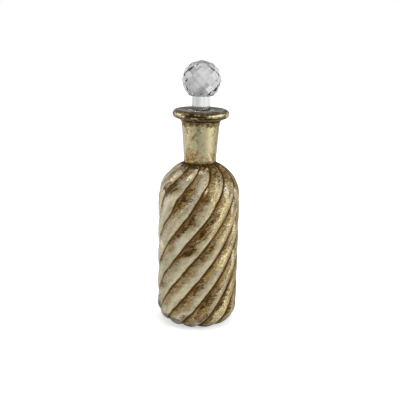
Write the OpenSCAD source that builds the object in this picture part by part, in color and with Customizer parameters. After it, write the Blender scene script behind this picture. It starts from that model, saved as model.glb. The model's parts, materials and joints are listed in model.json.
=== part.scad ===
// Genie bottle in antiqued mercury glass: a swirled ribbed body, a smooth neck with a
// rolled lip, and a loose stopper that ends in a faceted crystal ball.
// The axis of the bottle is Z and it stands on z = 0.

/* [Swirled body] */
// Diameter across the ribs
body_d = 88.4; // [72:0.2:108]
// Height from the foot to the neck joint
body_h = 179; // [148:1:216]
// Height of the domed shoulder, up to the neck joint
shoulder_h = 36.5; // [30:0.5:44]
// Radius of the rounded corner at the base
base_round = 18; // [14:0.5:22]
// Thinnest glass, measured behind a crease
wall = 3; // [2:0.1:4]
// Diameter of the flat disc that the bottle stands on
foot_d = 46; // [36:1:50]
// Depth of the hollow under the foot
punt_depth = 2.4; // [1:0.1:3]

/* [Ribs] */
// Number of ribs round the body
rib_count = 12; // [8:1:16]
// Depth of a crease between two ribs
rib_depth = 2.4; // [1.6:0.1:3.4]
// Height in which a rib makes one full turn
swirl_lead = 345; // [260:5:480]
// Angle of the first crease at the foot
swirl_start = 0.4; // [0:0.1:30]
// Degrees by which the ribs lag behind that steady turn at the shoulder
swirl_lag = 7; // [0:0.5:10]
// Where the crown of a rib lies between its two creases
crown_place = 0.6; // [0.4:0.05:0.7]

/* [Neck and lip] */
// Outer diameter of the neck at the shoulder
neck_low_d = 34.8; // [33:0.2:38]
// Outer diameter of the neck under the lip
neck_top_d = 41; // [38:0.2:46]
// Height of the neck, from the shoulder to the lip
neck_h = 43.8; // [37:0.2:52]
// Bore of the neck, which the stopper's rings run in
bore_d = 28; // [24:0.5:29]
// Outer diameter of the rolled lip
lip_d = 60.2; // [54:0.2:68]
// Thickness of the roll
roll_d = 8.9; // [7:0.1:10]

/* [Stopper] */
// Diameter of the clear shank between the lip and the ball
shank_d = 19.6; // [14:0.2:19.8]
// Length of the shank above the flange
shank_h = 15.2; // [10:0.2:24]
// Thickness of the flange that rests in the mouth
flange_t = 2.8; // [2:0.1:3.4]
// Length of the plug below the flange
plug_h = 32; // [27:0.5:38]
// Radial gap between the flange and its seat
flange_gap = 0.4; // [0.2:0.1:0.6]

/* [Sealing rings] */
// Height of one ring
ring_h = 4.2; // [3:0.1:5]
// Distance from one ring to the next
ring_pitch = 9; // [7:0.5:10]
// Radial gap between a ring and the bore
ring_fit = 0.05; // [0.02:0.01:0.1]
// Gap between a ring and its groove, all round
groove_fit = 0.08; // [0.04:0.01:0.1]

/* [Crystal ball] */
// Diameter over the corners of the facets
ball_d = 41; // [34:0.5:48]
// Number of facets round the middle of the ball
facet_count = 10; // [8:1:14]
// Height of the flat that is ground for the shank, from the ball's lowest point
ball_flat = 4.5; // [3.6:0.1:5.5]

/* [Silver lining] */
// Thickness of the silver and its lacquer
lining_t = 0.3; // [0.2:0.05:0.5]
// How far the lining climbs into the neck
lining_climb = 13; // [6:0.5:15]

/* [Hidden] */
$fn = 96;
seam = 0.05;            // lining to glass
steps_per_rib = 8;      // points across one rib
wall_rings = 12;        // levels up the straight wall
curve_rings = 7;        // levels on each rounded stretch
dome_steps = 14;        // points on the dome of the cavity
base_share = 0.45;      // share of a rib's depth that is left at the foot
base_rise = 60;         // angle up the base corner that would add a full rib depth
corner_wall = 0.5;      // extra glass in the base corner, as a share of the wall
foot_band = 6;          // width of the flat ring round the hollow foot
punt_flare = 1;         // slope of the hollow's side at its rim
through = 1;            // how far a cut runs past a face
groove_w = 1.2;         // dark groove where the neck meets the shoulder
groove_deep = 0.6;
lag_run = 38;           // height in which the lag builds up
lag_end = 16;           // and how far below the neck joint it is complete
rib_fade = 0.8;         // how fast the ribs flatten as the shoulder draws in
last_level = 0.985;     // height of the last ribbed level on the shoulder
flare_power = 1.3;      // the neck widens a little faster near its top
flare_steps = 10;
bead_out = 0.7;         // bead under the lip
bead_h = 1.1;
under_lip_h = 3.8;      // height of the sloping underside of the lip
roll_from = -70;        // angles between which the roll is round
roll_to = 96;
roll_steps = 16;
roll_seat = 0.72;       // the roll's middle lies this share of its radius above its underside
dish_drop = 0.9;        // the mouth lies this much below the crest of the roll
seat_wall = 1.6;        // ledge round the bore that the flange rests on
mouth_gap = 0.2;        // the flange's top lies this much below the mouth
edge_round = 0.6;
plug_gap = 2;           // radial gap between the plug and the bore
plug_bevel = 1.2;
groove_depth = 1.4;     // groove for a sealing ring
ring_tip = 1;           // height of the band of a ring that touches the bore
first_ring_drop = 5;    // from the ledge to the middle of the top ring
ball_turn = -2.4;       // a row of corners then stands a little right of the front, as photographed

body_r = body_d/2;
foot_r = foot_d/2;
bore_r = bore_d/2;
neck_low_r = neck_low_d/2;
neck_top_r = neck_top_d/2;
lip_r = lip_d/2;
roll_r = roll_d/2;
shank_r = shank_d/2;
ball_r = ball_d/2;
rib_angle = 360/rib_count;

shoulder_z = body_h - shoulder_h;
dome_h = shoulder_h/sqrt(1 - pow(neck_low_r/body_r, 2));
cavity_r = body_r - rib_depth - wall;
cavity_round = base_round - rib_depth - corner_wall*wall;
cavity_floor = rib_depth + wall;
cavity_top = body_h - rib_depth/2 - wall;
cavity_dome_h = (cavity_top - shoulder_z)/sqrt(1 - pow(bore_r/cavity_r, 2));

lip_z = body_h + neck_h;
roll_z = lip_z + bead_h + under_lip_h + roll_r*roll_seat;
crest_z = roll_z + roll_r;
mouth_z = crest_z - dish_drop;
seat_z = mouth_z - mouth_gap - flange_t;
seat_r = bore_r + seat_wall;
flange_r = seat_r - flange_gap;
flange_top = seat_z + flange_t;
plug_r = bore_r - plug_gap;
groove_r = plug_r - groove_depth;
shank_top = flange_top + shank_h;
ball_z = shank_top + ball_r - ball_flat;
facet_angle = 360/facet_count;
// Rows of facet corners above the ball's equator, the last of them past the flat
ball_rings = rows_past(asin(1 - ball_flat/ball_r), 1);

// Depth across one rib, from 1 in the crease to 0 on the crown
function rib_shape(u) =
    let(v = u - floor(u))
    v < crown_place
        ? pow(1 - v/crown_place, 2)
        : pow((v - crown_place)/(1 - crown_place), 2);

// One level of the body: radius, height, outward slope of the surface and rib depth
function base_level(a) =
    [body_r - base_round + base_round*sin(a), base_round*(1 - cos(a)), sin(a), -cos(a),
     rib_depth*min(1, base_share + a/base_rise)];
function shoulder_level(a) =
    let(r = body_r*cos(a), z = shoulder_z + dome_h*sin(a))
    let(nr = cos(a)*dome_h, nz = sin(a)*body_r, n = norm([nr, nz]))
    [r, z, nr/n, nz/n, rib_depth*pow(r/body_r, rib_fade)];

joint_angle = asin(shoulder_h/dome_h);
levels = concat(
    [[foot_r, 0, 0, -1, 0]],
    [for (i = [0 : curve_rings - 1]) base_level(90*i/curve_rings)],
    [for (i = [0 : wall_rings - 1])
        [body_r, base_round + (shoulder_z - base_round)*i/wall_rings, 1, 0, rib_depth]],
    [for (i = [0 : curve_rings]) shoulder_level(joint_angle*last_level*i/curve_rings)],
    [[neck_low_r, body_h, 1, 0, 0]]);

// Angle through which the ribs have turned at a height
function twist(z) =
    let(t = max(0, min(1, (z - body_h + lag_end + lag_run)/lag_run)))
    360*z/swirl_lead - swirl_lag*t*t*(3 - 2*t);

around = rib_count*steps_per_rib;
function level_point(lv, j) =
    let(turn = swirl_start + twist(lv[1]) + 360*j/around)
    let(dip = lv[4]*rib_shape(j/steps_per_rib))
    let(r = lv[0] - dip*lv[2])
    [r*cos(turn), r*sin(turn), lv[1] - dip*lv[3]];

function quad_faces(rows, n) =
    [for (i = [0 : rows - 2]) for (j = [0 : n - 1])
        let(a = i*n + j, b = i*n + (j + 1)%n)
        each [[a, b + n, b], [a, a + n, b + n]]];

// Ribbed outside of the body, closed flat at the foot and at the neck joint
module ribbed_blank() {
    rows = len(levels);
    last = rows*around;
    points = concat(
        [for (lv = levels) for (j = [0 : around - 1]) level_point(lv, j)],
        [[0, 0, 0], [0, 0, body_h]]);
    polyhedron(
        points = points,
        faces = concat(
            quad_faces(rows, around),
            [for (j = [0 : around - 1]) [last, j, (j + 1)%around]],
            [for (j = [0 : around - 1])
                [last + 1, last - around + (j + 1)%around, last - around + j]]),
        convexity = 6);
}

// Inside of the bottle, drawn in by inset and closed at the height top
function cavity_outline(inset, top) = concat(
    [[0, cavity_floor + inset]],
    [for (i = [0 : curve_rings])
        let(a = 90*i/curve_rings, r = cavity_round - inset)
        [cavity_r - cavity_round + r*sin(a), cavity_floor + cavity_round - r*cos(a)]],
    [for (i = [0 : dome_steps])
        let(a = acos((bore_r - inset)/(cavity_r - inset))*i/dome_steps)
        [(cavity_r - inset)*cos(a), shoulder_z + (cavity_dome_h - inset)*sin(a)]],
    [[bore_r - inset, top], [0, top]]);

module swirl_body() {
    punt_r = foot_r - foot_band;
    color([0.74, 0.72, 0.62])
    difference() {
        ribbed_blank();
        rotate_extrude()
            polygon(cavity_outline(0, body_h + through));
        translate([0, 0, -through])
            cylinder(h = through + punt_depth, r1 = punt_r + punt_flare,
                     r2 = punt_r - punt_depth);
    }
}

// Flared outside of the neck, with a groove at the shoulder
function neck_outline() = concat(
    [[neck_low_r - groove_deep, body_h], [neck_low_r - groove_deep, body_h + groove_w/2],
     [neck_low_r, body_h + groove_w]],
    [for (i = [1 : flare_steps])
        let(t = i/flare_steps)
        [neck_low_r + (neck_top_r - neck_low_r)*pow(t, flare_power), body_h + groove_w
            + (neck_h - groove_w)*t]]);

module neck() {
    color([0.78, 0.75, 0.6])
    rotate_extrude()
        polygon(concat(neck_outline(), [[bore_r, lip_z], [bore_r, body_h]]));
}

module lip_ring() {
    roll = [for (i = [0 : roll_steps]) let(a = roll_from + (roll_to - roll_from)*i/roll_steps)
        [lip_r - roll_r + roll_r*cos(a), roll_z + roll_r*sin(a)]];
    color([0.42, 0.34, 0.22])
    rotate_extrude()
        polygon(concat(
            [[bore_r, lip_z], [neck_top_r, lip_z], [neck_top_r + bead_out, lip_z + bead_h/2],
             [neck_top_r + bead_out, lip_z + bead_h]],
            roll,
            [[seat_r + edge_round, mouth_z], [seat_r, mouth_z - edge_round], [seat_r, seat_z],
             [bore_r, seat_z]]));
}

module silver_lining() {
    lining_top = body_h + lining_climb;
    color([0.62, 0.55, 0.4])
    difference() {
        rotate_extrude()
            polygon(cavity_outline(seam, lining_top));
        rotate_extrude()
            polygon(cavity_outline(seam + lining_t, lining_top + through));
    }
}

// Groove outline for the ring whose middle is at height z, on the plug's right side
function groove_steps(z) =
    let(h = ring_h/2 + groove_fit)
    [[plug_r, z + h], [groove_r, z + h], [groove_r, z - h], [plug_r, z - h]];

function ring_z(i) = seat_z - first_ring_drop - ring_pitch*i;

module stopper_plug() {
    foot_z = seat_z - plug_h;
    color([0.9, 0.92, 0.9, 0.5])
    rotate_extrude()
        polygon(concat(
            [[0, shank_top], [shank_r, shank_top], [shank_r, flange_top + 2*edge_round],
             [shank_r + 2*edge_round, flange_top], [flange_r - edge_round, flange_top],
             [flange_r, flange_top - edge_round], [flange_r, seat_z], [plug_r, seat_z]],
            [for (i = [0 : 2]) each groove_steps(ring_z(i))],
            [[plug_r, foot_z + plug_bevel], [plug_r - plug_bevel, foot_z], [0, foot_z]]));
}

module seal_ring(i) {
    inner = groove_r + groove_fit;
    outer = bore_r - ring_fit;
    color([0.86, 0.88, 0.86, 0.6])
    translate([0, 0, ring_z(i)])
        rotate_extrude()
            polygon([[inner, -ring_h/2], [plug_r, -ring_h/2], [outer, -ring_tip/2],
                     [outer, ring_tip/2], [plug_r, ring_h/2], [inner, ring_h/2]]);
}

// Latitude of the k-th row of corners. Each facet is a flat kite with all four
// corners on the ball, so its top corner follows from its bottom and side corners.
function row_latitude(k) =
    k == 0 ? 0 : k == 1 ? facet_angle/2 : kite_top(row_latitude(k - 2), row_latitude(k - 1));
function kite_top(low, side) =
    let(p = [cos(low), sin(low)])
    let(d = [cos(side)*cos(facet_angle/2), sin(side)] - p)
    let(q = p - d*2*(p*d)/(d*d))
    atan2(q[1], q[0]);

function rows_past(lat, k) = row_latitude(k) > lat ? k : rows_past(lat, k + 1);

function corner(k, j) =
    let(lat = sign(k)*row_latitude(abs(k)), turn = facet_angle*(j + (abs(k)%2)/2))
    ball_r*[cos(lat)*cos(turn), cos(lat)*sin(turn), sin(lat)];

module faceted_ball() {
    n = facet_count;
    rows = 2*ball_rings + 1;
    tip = rows*n;
    points = concat(
        [for (k = [-ball_rings : ball_rings]) for (j = [0 : n - 1]) corner(k, j)],
        [[0, 0, ball_r]]);
    // The corner above or below facet j of row k has the index j, or j + 1 on odd rows
    function id(row, j) = row*n + (j + n)%n;
    function beside(row) = (row + ball_rings)%2;
    polyhedron(
        points = points,
        faces = concat(
            [for (row = [1 : rows - 2]) for (j = [0 : n - 1])
                [id(row, j), id(row + 1, j + beside(row)), id(row, j + 1),
                 id(row - 1, j + beside(row))]],
            [for (j = [0 : n - 1])
                [id(0, j), id(1, j + beside(0)), id(0, j + 1)]],
            [for (j = [0 : n - 1])
                [id(rows - 1, j), id(rows - 1, j + 1), id(rows - 2, j + beside(rows - 1))]],
            [for (j = [0 : n - 1]) [id(rows - 1, j + 1), id(rows - 1, j), tip]],
            [[for (j = [0 : n - 1]) j]]),
        convexity = 2);
}

module crystal_ball() {
    color([0.82, 0.83, 0.84, 0.6])
    translate([0, 0, ball_z])
        difference() {
            rotate(ball_turn) faceted_ball();
            translate([-ball_r, -ball_r, -2*ball_r])
                cube([ball_d, ball_d, ball_r + ball_flat]);
        }
}

swirl_body();
neck();
lip_ring();
silver_lining();
stopper_plug();
crystal_ball();
seal_ring(0);  // seal_ring_top
seal_ring(1);  // seal_ring_middle
seal_ring(2);  // seal_ring_bottom
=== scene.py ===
import json
import math
import random

import bmesh
import bpy
from mathutils import Matrix, Vector, noise

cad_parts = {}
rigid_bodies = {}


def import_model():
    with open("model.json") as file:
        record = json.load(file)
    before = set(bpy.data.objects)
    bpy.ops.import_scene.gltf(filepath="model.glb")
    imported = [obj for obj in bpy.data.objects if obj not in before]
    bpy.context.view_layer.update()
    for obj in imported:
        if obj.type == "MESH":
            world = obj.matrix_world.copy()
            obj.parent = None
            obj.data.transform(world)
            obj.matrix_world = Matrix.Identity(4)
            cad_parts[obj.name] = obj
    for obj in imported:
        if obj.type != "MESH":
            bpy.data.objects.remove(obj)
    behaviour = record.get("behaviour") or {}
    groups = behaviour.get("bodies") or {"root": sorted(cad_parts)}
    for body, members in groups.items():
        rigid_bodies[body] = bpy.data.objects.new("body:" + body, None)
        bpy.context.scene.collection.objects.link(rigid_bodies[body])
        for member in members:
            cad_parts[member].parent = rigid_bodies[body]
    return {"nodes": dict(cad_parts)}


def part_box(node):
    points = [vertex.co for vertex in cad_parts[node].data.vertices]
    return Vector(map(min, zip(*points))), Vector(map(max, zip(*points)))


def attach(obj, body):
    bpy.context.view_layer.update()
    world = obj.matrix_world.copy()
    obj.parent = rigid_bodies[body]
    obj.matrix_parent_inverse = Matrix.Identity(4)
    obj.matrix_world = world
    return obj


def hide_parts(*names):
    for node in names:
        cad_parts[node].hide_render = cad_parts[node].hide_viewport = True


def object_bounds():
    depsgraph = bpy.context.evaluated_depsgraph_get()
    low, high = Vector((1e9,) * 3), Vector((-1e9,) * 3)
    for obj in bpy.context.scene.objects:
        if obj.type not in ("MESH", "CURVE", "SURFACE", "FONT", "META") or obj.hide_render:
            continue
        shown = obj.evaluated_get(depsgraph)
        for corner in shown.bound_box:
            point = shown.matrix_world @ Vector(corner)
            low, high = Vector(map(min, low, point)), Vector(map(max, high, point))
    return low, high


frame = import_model()
cadLow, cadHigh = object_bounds()
mm = 0.001
inMm = 1000
bodyLow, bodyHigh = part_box("swirl_body")
neckLow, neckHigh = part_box("neck")
lipLow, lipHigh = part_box("lip_ring")
plugLow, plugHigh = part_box("stopper_plug")
ballLow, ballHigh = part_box("crystal_ball")
print("frame loaded: the bottle stands", round(cadHigh.z * inMm, 1), "mm tall")

scene = bpy.context.scene
for ob in list(scene.objects):
    if ob.type in ("CAMERA", "LIGHT"):
        bpy.data.objects.remove(ob)

# Camera: a little above the lip, looking down at the bottle
view = {
    "place": (1.12 * mm, -689.5 * mm, 323.7 * mm),
    "tiltDown": 0.265,       # radians below the horizon
    "roll": 0.023,
    "lens": 59.09,
    "sensor": 36,
}
camera = bpy.data.objects.new("viewCamera", bpy.data.cameras.new("viewCamera"))
camera.data.lens = view["lens"]
camera.data.sensor_width = view["sensor"]
camera.data.clip_start = 0.01
camera.data.clip_end = 50
camera.matrix_world = (Matrix.Translation(view["place"])
                       @ Matrix.Rotation(math.pi / 2 - view["tiltDown"], 4, "X")
                       @ Matrix.Rotation(view["roll"], 4, "Z"))
scene.collection.objects.link(camera)
scene.camera = camera
scene.view_settings.view_transform = "Standard"
print("camera set")


def link(name, mesh):
    piece = bpy.data.objects.new(name, mesh)
    scene.collection.objects.link(piece)
    return piece


def place(piece, body, slot, material, *nodes):
    piece.data.materials.append(material)
    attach(piece, body)
    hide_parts(*nodes)


def lathe(name, outline, steps=192, wobble=None):
    # outline is a list of (radius, height); it may start and end on the axis
    bm = bmesh.new()
    rings = []
    for radius, height in outline:
        if radius < 1e-7:
            rings.append([bm.verts.new((0, 0, height))])
            continue
        ring = []
        for i in range(steps):
            turn = math.tau * i / steps
            r = radius - (wobble(turn, radius, height) if wobble else 0)
            ring.append(bm.verts.new((r * math.cos(turn), r * math.sin(turn), height)))
        rings.append(ring)
    pairs = list(zip(rings, rings[1:]))
    if len(rings[0]) > 1 and len(rings[-1]) > 1:
        pairs.append((rings[-1], rings[0]))
    for low, high in pairs:
        for i in range(steps):
            j = (i + 1) % steps
            if len(low) == 1:
                bm.faces.new((low[0], high[j], high[i]))
            elif len(high) == 1:
                bm.faces.new((low[i], low[j], high[0]))
            else:
                bm.faces.new((low[i], low[j], high[j], high[i]))
    bmesh.ops.recalc_face_normals(bm, faces=bm.faces)
    mesh = bpy.data.meshes.new(name)
    bm.to_mesh(mesh)
    bm.free()
    mesh.shade_smooth()
    return link(name, mesh)


def arc(radius, height, size, fromDeg, toDeg, steps):
    turns = [math.radians(fromDeg + (toDeg - fromDeg) * i / steps) for i in range(steps + 1)]
    return [(radius + size * math.cos(a), height + size * math.sin(a)) for a in turns]


def stretch(points, share, steps):
    # extra points on a long straight run, so the wobble and the shading stay even
    out = []
    for (r0, z0), (r1, z1) in zip(points, points[1:]):
        n = max(1, int(math.hypot(r1 - r0, z1 - z0) / share))
        n = min(n, steps)
        out += [(r0 + (r1 - r0) * i / n, z0 + (z1 - z0) * i / n) for i in range(n)]
    return out + [points[-1]]


# Short helpers for the finishes
def startFinish(name):
    material = bpy.data.materials.new(name)
    material.use_nodes = True
    material.node_tree.nodes.clear()
    return material


def add(material, kind, **settings):
    node = material.node_tree.nodes.new(kind)
    for key, value in settings.items():
        setattr(node, key, value)
    return node


def wire(material, socket, value):
    if isinstance(value, bpy.types.NodeSocket):
        material.node_tree.links.new(value, socket)
    elif socket.type == "RGBA" and len(value) == 3:
        socket.default_value = (*value, 1)
    else:
        socket.default_value = value


def calc(material, what, *values):
    node = add(material, "ShaderNodeMath", operation=what)
    for socket, value in zip(node.inputs, values):
        wire(material, socket, value)
    return node.outputs[0]


def span(material, value, low, high, toLow=0.0, toHigh=1.0):
    # soft step from toLow to toHigh while value goes from low to high
    node = add(material, "ShaderNodeMapRange", interpolation_type="SMOOTHSTEP")
    for socket, part in zip(node.inputs, (value, low, high, toLow, toHigh)):
        wire(material, socket, part)
    return node.outputs[0]


def mixColour(material, share, first, second):
    node = add(material, "ShaderNodeMix", data_type="RGBA")
    wire(material, node.inputs[0], share)
    wire(material, node.inputs[6], first)
    wire(material, node.inputs[7], second)
    return node.outputs[2]


def mixValue(material, share, first, second):
    node = add(material, "ShaderNodeMix", data_type="FLOAT")
    wire(material, node.inputs[0], share)
    wire(material, node.inputs[2], first)
    wire(material, node.inputs[3], second)
    return node.outputs[0]


def grain(material, where, size, detail=2.0, rough=0.5, bend=0.0):
    # noise with features of about this size in millimetres
    node = add(material, "ShaderNodeTexNoise")
    wire(material, node.inputs["Vector"], where)
    node.inputs["Scale"].default_value = 1 / size
    node.inputs["Detail"].default_value = detail
    node.inputs["Roughness"].default_value = rough
    node.inputs["Distortion"].default_value = bend
    return node.outputs["Fac"]


def dots(material, where, size, feature="F1"):
    node = add(material, "ShaderNodeTexVoronoi", feature=feature)
    wire(material, node.inputs["Vector"], where)
    node.inputs["Scale"].default_value = 1 / size
    return node.outputs["Distance"]


def stretched(material, where, x, y, z):
    node = add(material, "ShaderNodeVectorMath", operation="MULTIPLY")
    wire(material, node.inputs[0], where)
    node.inputs[1].default_value = (x, y, z)
    return node.outputs[0]


def shifted(material, where, x, y, z):
    both = add(material, "ShaderNodeVectorMath", operation="ADD")
    wire(material, both.inputs[0], where)
    wire(material, both.inputs[1], joined(material, x, y, z))
    return both.outputs[0]


def apart(material, where):
    node = add(material, "ShaderNodeSeparateXYZ")
    wire(material, node.inputs[0], where)
    return node.outputs[0], node.outputs[1], node.outputs[2]


def joined(material, x, y, z):
    node = add(material, "ShaderNodeCombineXYZ")
    for socket, value in zip(node.inputs, (x, y, z)):
        wire(material, socket, value)
    return node.outputs[0]


def placeInMm(material):
    return stretched(material, add(material, "ShaderNodeTexCoord").outputs["Object"], inMm, inMm, inMm)


def spot(material, across, up, ragged, placed):
    # soft patch with a ragged edge: middle across and up, half sizes, lean (all mm, lean in degrees)
    midAcross, midUp, halfAcross, halfUp, lean = placed
    c, s = math.cos(math.radians(lean)), math.sin(math.radians(lean))
    dx = calc(material, "SUBTRACT", across, midAcross)
    dz = calc(material, "SUBTRACT", up, midUp)
    a = calc(material, "ADD", calc(material, "MULTIPLY", dx, c / halfAcross),
             calc(material, "MULTIPLY", dz, s / halfAcross))
    b = calc(material, "ADD", calc(material, "MULTIPLY", dx, -s / halfUp),
             calc(material, "MULTIPLY", dz, c / halfUp))
    away = calc(material, "SQRT", calc(material, "ADD", calc(material, "MULTIPLY", a, a),
                                       calc(material, "MULTIPLY", b, b)))
    return span(material, calc(material, "ADD", away, ragged), 0.75, 1.1, 1.0, 0.0)


def spots(material, across, up, ragged, places):
    total = 0.0
    for placed in places:
        total = calc(material, "MAXIMUM", spot(material, across, up, ragged, placed), total)
    return total


def surface(material, bump=None, bumpDepth=0.0, **sockets):
    out = add(material, "ShaderNodeOutputMaterial")
    shader = add(material, "ShaderNodeBsdfPrincipled")
    for key, value in sockets.items():
        wire(material, shader.inputs[key.replace("_", " ")], value)
    if bump is not None:
        bumpNode = add(material, "ShaderNodeBump")
        bumpNode.inputs["Strength"].default_value = 1.0
        bumpNode.inputs["Distance"].default_value = bumpDepth
        wire(material, bumpNode.inputs["Height"], bump)
        wire(material, shader.inputs["Normal"], bumpNode.outputs[0])
    wire(material, out.inputs["Surface"], shader.outputs[0])
    return material


# Swirled body: ribs that climb to the right, a domed shoulder and a scalloped base
swirl = {
    "ribs": 12,
    "ribDepth": 2.4 * mm,
    "lead": 345 * mm,            # a rib makes one full turn in this height
    "start": 0.4,                # degrees, the first crease at the foot
    "lag": 7,                    # degrees the ribs lose at the shoulder
    "lagRun": 38 * mm,           # height in which they lose them
    "lagEnd": 16 * mm,           # below the neck joint, where that ends
    "crown": 0.6,                # where the crown lies between two creases
    "wall": 3 * mm,
    "corner": 18 * mm,           # rounding of the base
    "foot": 23 * mm,
    "footBand": 6 * mm,
    "hollow": 2.4 * mm,          # depth of the hollow under the foot
    "baseShare": 0.45,
    "baseRise": 60,
    "shoulder": 36.5 * mm,
    "jointRadius": 17.4 * mm,
    "bore": 14 * mm,
    "ribFade": 0.8,
    "lastLevel": 0.985,
    "inset": 0.02 * mm,          # keeps the finer mesh inside the measured box
    "across": 24,                # points across one rib
    "wallLevels": 130,
    "curveLevels": 44,
    "armMm": 44,                 # radius that turns an angle into mm along the front
    # painted highlights: middle across and up, half sizes (mm), lean (degrees)
    "highlightPlaces": ((33.5, 156, 3.6, 11, -12), (21, 161, 1.6, 5, -20),
                     (15, 150, 1.5, 5, -30), (43, 140, 2.5, 12, -10), (50, 152, 3, 7, -20), (49, 120, 3, 16, -10), (8, 156, 1.5, 4, -40),
                     (-13, 169, 2.2, 6, -55), (-38, 168, 3.2, 8, -37),
                     (1, 173, 9, 1.6, 0), (-5, 175, 3.5, 1.8, 0), (47, 80, 2.5, 14, -10), (-50, 92, 6, 5, 0)),
    "palePlaces": ((4, 163, 4.5, 12, -32), (-9, 146, 4, 9, -40), (-21, 136, 4, 6, -40), (25, 150, 3.5, 12, -25),
                   (-17, 100, 6, 12, -45), (-40, 140, 5, 10, -20)),
    # stains, and painted shade low at the left and right edges of the base
    "stainAndShadePlaces": ((13, 149, 1.6, 7, -38), (-44, 154, 4.5, 7, -35), (-10, 14, 8, 6, 0), (6, 17, 8, 9, -30), (57, 166, 14, 8, 0), (-62, 21, 9, 14, 0),
                    (64, 22, 9, 17, 0), (27, 173, 10, 5, 0), (44, 170, 12, 6, -20), (60, 152, 4, 8, 0), (-30, 11, 14, 3, 0),
                    (-28, 175, 12, 3, 0)),
    "waver": 0.22 * mm,          # how far the hand-worked wall strays inward
    "waverSize": 26 * mm,
}


# Patina under each crease, placed one by one: rib, height, half length, width (all mm), tone
patina = {
    "patches": (
        (1, 168, 6, 5, 0.8), (1, 152, 7, 4, 0.6),
        (2, 156, 7, 11, 0.0), (2, 171, 6, 6, 0.2), (2, 136, 8, 4, 0.5),
        (3, 149, 13, 12, 0.25), (3, 129, 10, 7, 0.5), (3, 112, 9, 5, 0.8), (3, 173, 7, 6, 0.9),
        (4, 165, 8, 4, 0.8), (4, 147, 11, 9, 0.1), (4, 133, 5, 5, 0.1), (4, 121, 8, 11, 0.0),
        (4, 106, 8, 5, 0.1), (4, 92, 10, 8, 0.9),
        (5, 150, 9, 9, 0.9), (5, 127, 11, 8, 0.25), (5, 109, 10, 11, 0.3), (5, 91, 7, 11, 0.0),
        (5, 75, 9, 6, 0.2), (5, 56, 8, 5, 0.8), (5, 42, 6, 4, 0.5),
        (6, 132, 9, 8, 0.85), (6, 115, 9, 7, 0.75), (6, 95, 8, 8, 0.2), (6, 82, 7, 6.5, 0.25),
        (6, 68, 7, 6, 0.5), (6, 57, 7, 5.5, 0.8), (6, 46, 7, 5.5, 0.5), (6, 29, 7, 6.5, 0.7),
        (7, 118, 9, 6, 0.9), (7, 95, 10, 8, 0.85), (7, 70, 10, 7.5, 0.5), (7, 52, 9, 7.5, 0.1),
        (7, 40, 7, 5.5, 0.4), (7, 28, 9, 10, 0.75),
        (8, 100, 9, 6, 0.9), (8, 78, 11, 7, 0.8), (8, 60, 6, 7, 0.9), (8, 47, 10, 8, 0.1), (8, 34, 8, 8, 0.1),
        (8, 19, 10, 13, 0.75),
        (9, 62, 9, 5, 0.5), (9, 32, 13, 5.5, 0.0), (9, 12, 6, 6, 0.3),
        (10, 20, 8, 6.5, 0.2), (10, 40, 7, 4, 0.5),
    ),
    "thin": 1.7,                 # width between the patches
    "spacing": 15,               # of the chance patches round the back
    "seed": 11,
}


def twistAt(z):
    # angle in radians through which the ribs have turned at height z
    t = (z - bodyHigh.z + swirl["lagEnd"] + swirl["lagRun"]) / swirl["lagRun"]
    t = max(0, min(1, t))
    return math.tau * z / swirl["lead"] - math.radians(swirl["lag"]) * t * t * (3 - 2 * t)


def allPatches():
    chance = random.Random(patina["seed"])
    found = {rib: [] for rib in range(swirl["ribs"])}
    for rib, z, half, wide, tone in patina["patches"]:
        found[rib].append((z, half, wide, tone))
    for rib in range(swirl["ribs"]):
        z = chance.uniform(0, patina["spacing"])
        while z < bodyHigh.z * inMm:
            turn = swirl["start"] + 30 * rib + math.degrees(twistAt(z * mm))
            wide, tone, half = chance.uniform(1, 8), chance.random(), chance.uniform(5, 10)
            if math.sin(math.radians(turn)) > -0.4:       # not in front
                found[rib].append((z, half, wide, tone))
            z += patina["spacing"] * chance.uniform(0.7, 1.3)
    return found


def patinaAt(places, z):
    # width and tone of the band at height z on one rib
    wide, tone, total = patina["thin"], 0.0, 1e-6
    for middle, half, most, shade in places:
        share = math.exp(-((z * inMm - middle) / half) ** 2)
        wide += (most - patina["thin"]) * share
        tone += shade * share
        total += share
    return wide, tone / total


def ribDip(u):
    u = u - math.floor(u)
    crown = swirl["crown"]
    if u < crown:
        return (1 - u / crown) ** 2
    return ((u - crown) / (1 - crown)) ** 2


def bodyLevels():
    radius = bodyHigh.x - swirl["inset"]
    height = bodyHigh.z
    corner = swirl["corner"]
    depth = swirl["ribDepth"]
    steps = swirl["curveLevels"]
    shoulderZ = height - swirl["shoulder"]
    dome = swirl["shoulder"] / math.sqrt(1 - (swirl["jointRadius"] / radius) ** 2)
    levels = [(swirl["foot"], 0, 0, -1, 0)]
    for i in range(steps):
        deg = 90 * i / steps
        a = math.radians(deg)
        share = min(1, swirl["baseShare"] + deg / swirl["baseRise"])
        levels.append((radius - corner + corner * math.sin(a), corner * (1 - math.cos(a)),
                       math.sin(a), -math.cos(a), depth * share))
    for i in range(swirl["wallLevels"]):
        z = corner + (shoulderZ - corner) * i / swirl["wallLevels"]
        levels.append((radius, z, 1, 0, depth))
    last = math.asin(swirl["shoulder"] / dome) * swirl["lastLevel"]
    for i in range(steps + 1):
        a = last * i / steps
        r = radius * math.cos(a)
        out = Vector((math.cos(a) * dome, math.sin(a) * radius)).normalized()
        levels.append((r, shoulderZ + dome * math.sin(a), out.x, out.y,
                       depth * (r / radius) ** swirl["ribFade"]))
    levels.append((swirl["jointRadius"], height, 1, 0, 0))
    return levels


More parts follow.
